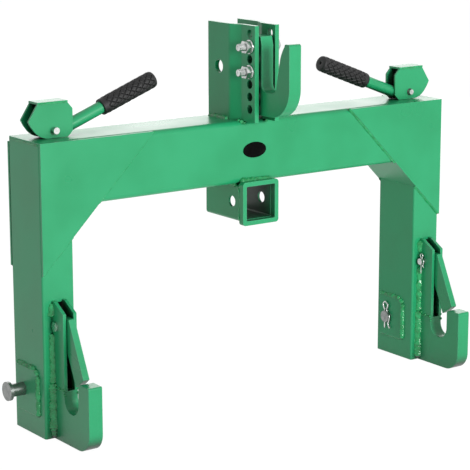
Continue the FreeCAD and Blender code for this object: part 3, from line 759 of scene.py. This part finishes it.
@dataclass
class Badge:
    """The maker's place on the beam, as a bare black oval with a thin raised rim."""

    bench: Bench
    width_mm: float = 42.0
    height_mm: float = 23.4
    thickness_mm: float = 1.0
    offset_x_mm: float = -1.0
    level_mm: float = 380.0
    segments: int = 64
    # share of the oval's radius, share of the thickness, from the rim inwards
    profile: tuple = ((1.0, 0.0), (1.0, 0.7), (0.97, 1.0), (0.93, 1.0), (0.91, 0.7),
                      (0.5, 0.75), (0.02, 0.78))

    def build(self) -> None:
        """Make the badge on the front face of the beam."""
        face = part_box("cross_beam")[0].y
        rings = []
        for share, rise in self.profile:
            ring = []
            for angle in round_angles(self.segments):
                ring.append(Vector((
                    (self.offset_x_mm + share * self.width_mm / 2 * math.cos(angle)) * MM,
                    face - rise * self.thickness_mm * MM,
                    (self.level_mm + share * self.height_mm / 2 * math.sin(angle)) * MM)))
            rings.append(ring)
        points, faces = loft(rings)
        self.bench.fit("badge_plate", points, faces, "frame", "badge", 50.0)


@dataclass
class ScrewThread:
    """A vee thread wound round the end of a bolt."""

    radius_mm: float = 5.0
    pitch_mm: float = 1.5
    height_mm: float = 0.45
    root_sink_mm: float = 0.1
    flank_share: float = 0.42
    crest_share: float = 0.15
    steps: int = 24

    def mesh(self, start: Vector, axis: Vector, length: float
             ) -> tuple[list[Vector], list[tuple[int, ...]]]:
        """Wind the thread.

        Args:
            start: Centre of the bolt where the thread starts.
            axis: Unit direction of the bolt.
            length: How far the thread runs, in metres.

        Returns:
            The vertices and the faces.
        """
        across, up = frame_along(axis)
        turns = length / (self.pitch_mm * MM)
        count = int(turns * self.steps)
        rings = []
        for i in range(count + 1):
            angle = 2 * math.pi * i / self.steps
            out = across * math.cos(angle) + up * math.sin(angle)
            along = start + axis * (length * i / count)
            root = out * (self.radius_mm - self.root_sink_mm) * MM
            crest = out * (self.radius_mm + self.height_mm) * MM
            half = axis * self.pitch_mm * self.flank_share * MM
            flat = half * self.crest_share
            rings.append([along + root - half, along + crest - flat, along + crest + flat,
                          along + root + half])
        return loft(rings)


@dataclass
class HookFasteners:
    """The threads and washers of the two bolts that hold the top hook."""

    bench: Bench
    washer_radius_mm: float = 10.5
    washer_mm: float = 2.0
    bolt_radius_mm: float = 5.1
    soft_mm: float = 0.5
    runout_mm: float = 1.2
    segments: int = 48
    thread: ScrewThread = field(default_factory=ScrewThread)

    def washer(self, name: str, low_x: float, y: float, z: float) -> None:
        """Make a flat washer with rolled edges across X.

        Args:
            name: The washer's name.
            low_x: Its left face.
            y: Its centre.
            z: Its centre.
        """
        outer, inner = self.washer_radius_mm * MM, self.bolt_radius_mm * MM
        soft = self.soft_mm * MM
        high_x = low_x + self.washer_mm * MM
        profile = [(inner, low_x), (outer - soft, low_x), (outer, low_x + soft),
                   (outer, high_x - soft), (outer - soft, high_x), (inner, high_x)]
        rings = []
        for angle in round_angles(self.segments):
            rings.append([Vector((x, y + r * math.cos(angle), z + r * math.sin(angle)))
                          for r, x in profile])
        points, faces = loft(rings, closed=True)
        self.bench.fit(name, points, faces, "frame", "zinc_plate", 50.0)

    def build(self) -> None:
        """Make both bolts' threads and washers."""
        nuts_low, nuts_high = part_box("top_hook_nuts")
        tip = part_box("top_hook_bolts")[0].x
        y = (nuts_low.y + nuts_high.y) / 2
        half_flats = (nuts_high.y - nuts_low.y) * math.sqrt(3) / 4
        for word, z in (("lower", nuts_low.z + half_flats), ("upper", nuts_high.z - half_flats)):
            self.washer(f"{word}_hook_bolt_washer", nuts_high.x, y, z)
            points, faces = self.thread.mesh(Vector((nuts_low.x, y, z)), Vector((-1, 0, 0)),
                                             nuts_low.x - tip - self.runout_mm * MM)
            self.bench.fit(f"{word}_hook_bolt_thread", points, faces, "frame", "zinc_plate", 30.0)


@dataclass
class Grip:
    """A rubber grip with rows of raised diamonds, a plain cuff and a closed end."""

    bench: Bench
    side: Side
    angle: float = 21.0
    bore_mm: float = 9.3
    radius_mm: float = 12.5
    length_mm: float = 95.0
    cuff_mm: float = 8.0
    lip_mm: float = 0.8
    end_round_mm: float = 3.2
    diamonds_round: int = 8
    diamonds_along: int = 7
    relief_mm: float = 1.7
    groove_mm: float = 0.35
    around: int = 168
    along: int = 200
    # radius and depth of the closed end, with its small moulding hole
    end_profile: tuple = ((6.0, 0.0), (2.6, 0.0), (2.2, 0.5), (2.0, 3.0), (0.1, 3.0))

    def relief(self, s: float, turn: float) -> float:
        """How proud the surface stands at a place on the grip.

        Args:
            s: Distance from the mouth, in mm.
            turn: Angle round the grip, in radians.

        Returns:
            Height in mm.
        """
        if s < self.cuff_mm or s > self.length_mm - self.cuff_mm * 0.6:
            return self.relief_mm * 0.75
        u = self.diamonds_round * turn / (2 * math.pi)
        v = self.diamonds_along * (s - self.cuff_mm) / (self.length_mm - 1.6 * self.cuff_mm)
        one = abs(((u + v) % 1.0) - 0.5) * 2
        other = abs(((u - v) % 1.0) - 0.5) * 2
        out = max(one, other)
        groove = self.groove_mm * max(0.0, math.cos(2 * math.pi * 3 * out)) if out < 0.8 else 0.0
        return self.relief_mm * min(1.0, 4.0 * (1.0 - out)) - groove

    def build(self) -> None:
        """Make the grip in place of the plain sleeve."""
        sign = self.side.value
        node = f"{self.side.word}_lever_grip"
        low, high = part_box(node)
        tilt = math.radians(self.angle)
        axis = Vector((-sign * math.cos(tilt), 0, math.sin(tilt)))
        middle = (low + high) / 2
        mouth = middle - axis * (self.length_mm / 2 * MM)
        across = Vector((0, 1, 0))
        up = axis.cross(across).normalized()
        rings = []
        for along, radius in ((6 * MM, self.bore_mm), (0.0, self.bore_mm),
                              (0.0, self.radius_mm - self.lip_mm)):
            rings.append(self.ring(mouth + axis * along, across, up,
                                   lambda turn, radius=radius: radius))
        edge = self.end_round_mm
        for i in range(self.along + 1):
            s = self.length_mm * i / self.along
            drop = max(0.0, s - (self.length_mm - edge))
            shrink = edge - math.sqrt(max(0.0, edge * edge - drop * drop))
            lip = max(0.0, self.lip_mm - s)
            rings.append(self.ring(mouth + axis * s * MM, across, up,
                                   lambda turn, s=s, shrink=shrink, lip=lip:
                                   self.radius_mm - self.relief_mm + self.relief(s, turn)
                                   - shrink - lip))
        end = mouth + axis * self.length_mm * MM
        for radius, depth in self.end_profile:
            rings.append(self.ring(end - axis * depth * MM, across, up,
                                   lambda turn, radius=radius: radius))
        points, faces = loft(rings)
        piece = self.bench.fit(f"{self.side.word}_rubber_grip", points, faces[:-2] + faces[-1:],
                               f"{self.side.word}_lever", "grip_rubber", 60.0)
        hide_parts(node)

    def ring(self, centre: Vector, across: Vector, up: Vector,
             radius: Callable[[float], float]) -> list[Vector]:
        """One ring of the grip's skin.

        Args:
            centre: The ring's centre.
            across: First direction square to the grip.
            up: Second direction.
            radius: Radius in mm for each angle.

        Returns:
            The ring's points.
        """
        points = []
        for turn in round_angles(self.around):
            out = across * math.cos(turn) + up * math.sin(turn)
            points.append(centre + out * radius(turn) * MM)
        return points


@dataclass
class WireClip:
    """A spring clip of round wire, in place of the plain one."""

    bench: Bench
    node: str
    name: str
    body: str
    pin_radius_mm: float
    wire_mm: float
    loop_rise: float = 2.7
    tail_drop: float = 2.0

    def route(self) -> list[Vector]:
        """The clip's line: up through the pin, round a pointed loop and down past the pin."""
        low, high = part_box(self.node)
        r = self.pin_radius_mm * MM
        hug = 1.0 + (self.wire_mm / 2 + 0.3) / self.pin_radius_mm
        x = (low.x + high.x) / 2
        y = high.y - self.wire_mm / 2 * MM
        z = low.z + 2.1 * r
        rise, drop = self.loop_rise, self.tail_drop
        neck = 0.45 * rise
        knots = [(0, -drop), (0, -0.5 * drop), (0, 0), (0, 0.7 * neck), (-0.02, neck),
                 (-0.3, 0.62 * rise), (-0.5, 0.78 * rise), (-0.25, 0.93 * rise), (0.05, rise),
                 (0.45, 0.93 * rise), (0.85, 0.78 * rise), (0.6, 0.62 * rise), (0.4, neck),
                 (0.75, 0.75), (hug, 0.3), (hug, -0.3), (1.0, -0.8), (0.78, -1.2),
                 (1.0, -1.55), (1.35, -1.9)]
        return [Vector((x, y - across * r, z + up * r)) for across, up in knots]

    def build(self) -> None:
        """Sweep the wire along its line."""
        curve = bpy.data.curves.new(self.name, "CURVE")
        curve.dimensions = "3D"
        curve.bevel_depth = self.wire_mm / 2 * MM
        curve.bevel_resolution = 5
        curve.use_fill_caps = True
        spline = curve.splines.new("NURBS")
        knots = self.route()
        spline.points.add(len(knots) - 1)
        for point, knot in zip(spline.points, knots):
            point.co = (*knot, 1.0)
        spline.order_u = 4
        spline.use_endpoint_u = True
        spline.resolution_u = 6
        clip = bpy.data.objects.new(self.name, curve)
        bpy.context.scene.collection.objects.link(clip)
        curve.materials.append(self.bench.paintshop.finish_for("zinc_plate"))
        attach(clip, self.body)
        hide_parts(self.node)
        log.info("%s: wire of %.1f mm on %s", self.name, self.wire_mm, self.body)


@dataclass
class ReturnSpring:
    """The coil of round wire that pushes a pull rod down, in place of the plain one.

    Its foot stands on the rod's collar.
    """

    bench: Bench
    side: Side
    wire_mm: float = 1.6
    turns: float = 6.0
    end_ease: float = 0.7
    steps: int = 28
    points: int = 10
    keep: float = 0.67

    def height_share(self, turn: float) -> float:
        """How far up the spring its wire is: closer wound at both ends.

        Args:
            turn: Turns from the foot.

        Returns:
            Share of the height.
        """
        share = turn / self.turns
        return share - self.end_ease * math.sin(2 * math.pi * share) / (2 * math.pi)

    def build(self) -> None:
        """Wind the spring and give it a mesh of its own."""
        node = f"{self.side.word}_return_spring"
        low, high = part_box(node)
        wire = self.wire_mm / 2 * MM
        radius = (high.y - low.y) / 2 - wire
        foot = Vector(((low.x + high.x) / 2, (low.y + high.y) / 2, low.z))
        rings = []
        for i in range(int(self.turns * self.steps) + 1):
            turn = i / self.steps
            angle = 2 * math.pi * turn
            out = Vector((math.cos(angle), math.sin(angle), 0))
            centre = foot + out * radius
            centre.z += wire + (high.z - low.z - 2 * wire) * self.height_share(turn)
            ring = []
            for roll in round_angles(self.points):
                ring.append(centre + out * wire * math.cos(roll)
                            + Vector((0, 0, wire * math.sin(roll))))
            rings.append(ring)
        points, faces = loft(rings)
        piece = self.bench.fit(f"{self.side.word}_coil_spring", points, faces,
                               f"{self.side.word}_pull_rod_unit", "spring_steel", 50.0)
        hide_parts(node)
        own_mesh(piece)


@dataclass
class LeverPinEnd:
    """The spring steel ring that keeps the plain end of a lever pin in."""

    bench: Bench
    side: Side
    inner_mm: float = 4.0
    outer_mm: float = 5.4
    thick_mm: float = 1.0
    soft_mm: float = 0.3
    segments: int = 40

    def build(self) -> None:
        """Make the ring against the lever's side."""
        sign = self.side.value
        plates_low, plates_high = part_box(f"{self.side.word}_lever_side_plates")
        pin_low, pin_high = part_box(f"{self.side.word}_lever_pin")
        x, z = (pin_low.x + pin_high.x) / 2, (pin_low.z + pin_high.z) / 2
        face = plates_low.y if sign > 0 else plates_high.y
        out = -sign
        rings = []
        outer, thick, soft = self.outer_mm, self.thick_mm, self.soft_mm
        profile = [(self.inner_mm, 0.0), (outer - soft, 0.0), (outer, soft),
                   (outer, thick - soft), (outer - soft, thick), (self.inner_mm, thick)]
        for angle in round_angles(self.segments):
            rings.append([Vector((x + r * MM * math.cos(angle), face + out * rise * MM,
                                  z + r * MM * math.sin(angle))) for r, rise in profile])
        points, faces = loft(rings, closed=True)
        self.bench.fit(f"{self.side.word}_lever_pin_ring", points, faces,
                       f"{self.side.word}_lever", "spring_steel", 50.0)


@dataclass
class Studio:
    """A pale floor, soft lamps and the camera."""

    lens_mm: float = 139.25
    distance: float = 2.7097
    yaw: float = -35.69
    pitch: float = 12.47
    roll: float = -0.06
    aim: tuple[float, float, float] = (-0.0369, 0.0035, 0.2546)
    world_level: float = 0.33
    floor_glow: float = 0.86
    floor_light: float = 1.12
    floor_reach: float = 9.0
    floor_gap: float = 0.0005

    def seen_white(self, name: str, tint: str) -> Material:
        """A pale matt surface that the lens and mirrors see near white.

        Args:
            name: The material's name.
            tint: Its colour.

        Returns:
            The material.
        """
        material, tree = new_material(name)
        colour = ramp(tree, speckle(tree, 40.0, 2.0),
                      [(0.0, linear(tint)), (1.0, linear("#FFFFFF"))])
        matt = add_node(tree, "ShaderNodeBsdfDiffuse", {"Color": colour})
        light = add_node(tree, "ShaderNodeEmission", {
            "Color": linear("#FFFFFF"), "Strength": self.floor_light})
        share = add_node(tree, "ShaderNodeMath", {0: seen_share(tree), 1: self.floor_glow},
                         operation="MULTIPLY")
        both = add_node(tree, "ShaderNodeMixShader", {0: share.outputs[0], 1: matt.outputs[0],
                                                      2: light.outputs[0]})
        add_node(tree, "ShaderNodeOutputMaterial", {"Surface": both.outputs[0]})
        return material

    def floor(self) -> None:
        """Lay the floor under the hitch."""
        mesh = bpy.data.meshes.new("studio_floor")
        reach = self.floor_reach
        mesh.from_pydata([(-reach, -reach, 0), (reach, -reach, 0), (reach, reach, 0),
                          (-reach, reach, 0)], [], [(0, 1, 2, 3)])
        floor = bpy.data.objects.new("studio_floor", mesh)
        floor.location.z = CAD_LOW.z - self.floor_gap
        bpy.context.scene.collection.objects.link(floor)
        mesh.materials.append(self.seen_white("white studio floor", "#F4F4F4"))

    def lamp(self, name: str, location: tuple[float, float, float], size: float,
             watts: float, aim: tuple[float, float, float] = (0, 0, 0.25)) -> None:
        """Hang a square soft box.

        Args:
            name: The lamp's name.
            location: Where it hangs, in metres.
            size: Its side, in metres.
            watts: Its power.
            aim: What it points at.
        """
        data = bpy.data.lights.new(name, "AREA")
        data.shape = "SQUARE"
        data.size = size
        data.energy = watts
        lamp = bpy.data.objects.new(name, data)
        lamp.location = location
        lamp.visible_camera = False
        look = Vector(aim) - Vector(location)
        lamp.rotation_euler = look.to_track_quat("-Z", "Y").to_euler()
        bpy.context.scene.collection.objects.link(lamp)

    def world(self) -> None:
        """Light the room evenly, and show it white to the lens and in reflections."""
        world = bpy.data.worlds.new("studio room")
        bpy.context.scene.world = world
        world.use_nodes = True
        tree = world.node_tree
        tree.nodes.clear()
        level = spread(tree, seen_share(tree), self.world_level, 1.0, 0.0, 1.0)
        back = add_node(tree, "ShaderNodeBackground", {
            "Color": linear("#FFFFFF"), "Strength": level})
        add_node(tree, "ShaderNodeOutputWorld", {"Surface": back.outputs[0]})

    def camera(self) -> None:
        """Set up the camera."""
        data = bpy.data.cameras.new("studio camera")
        data.lens = self.lens_mm
        data.sensor_width = 36.0
        data.dof.use_dof = False
        camera = bpy.data.objects.new("studio camera", data)
        yaw, pitch = math.radians(self.yaw), math.radians(self.pitch)
        back = Vector((math.sin(yaw) * math.cos(pitch), -math.cos(yaw) * math.cos(pitch),
                       math.sin(pitch)))
        camera.location = Vector(self.aim) + back * self.distance
        turn = (-back).to_track_quat("-Z", "Y").to_matrix()
        camera.rotation_euler = (turn @ Matrix.Rotation(math.radians(self.roll), 3, "Z")
                                 ).to_euler()
        bpy.context.scene.collection.objects.link(camera)
        bpy.context.scene.camera = camera

    def build(self) -> None:
        """Set the whole stage."""
        self.floor()
        self.world()
        self.lamp("front soft box", (0.1, -2.9, 0.85), 0.9, 68.0)
        self.lamp("back right soft box", (1.9, 2.3, 1.0), 2.2, 25.0)
        self.camera()
        bpy.context.scene.view_settings.view_transform = "Standard"


def smooth_nodes(limit: float = 30.0) -> None:
    """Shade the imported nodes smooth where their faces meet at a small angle.

    Args:
        limit: The largest angle in degrees that is shaded smooth.
    """
    for node in frame["nodes"].values():
        mesh = node.data
        mesh.polygons.foreach_set("use_smooth", [True] * len(mesh.polygons))
        mesh.set_sharp_from_angle(angle=math.radians(limit))


def main() -> None:
    """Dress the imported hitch, add its small parts and set the stage."""
    logging.basicConfig(level=logging.INFO, format="%(message)s")
    paintshop = Paintshop()
    bench = Bench(paintshop)
    smooth_nodes()
    paintshop.dress_nodes()
    WeldBeads(bench).build()
    Badge(bench).build()
    HookFasteners(bench).build()
    for side in Side:
        Grip(bench, side).build()
        LeverPinEnd(bench, side).build()
        ReturnSpring(bench, side).build()
        WireClip(bench, f"{side.word}_link_pin_clip", f"{side.word}_link_pin_r_clip",
                 f"{side.word}_link_pin_unit", 9.5, 2.5).build()
        WireClip(bench, f"{side.word}_latch_pin_clip", f"{side.word}_latch_pin_r_clip",
                 "frame", 5.0, 1.6, 2.6, 4.0).build()
    Studio().build()


if __name__ == "__main__":
    main()
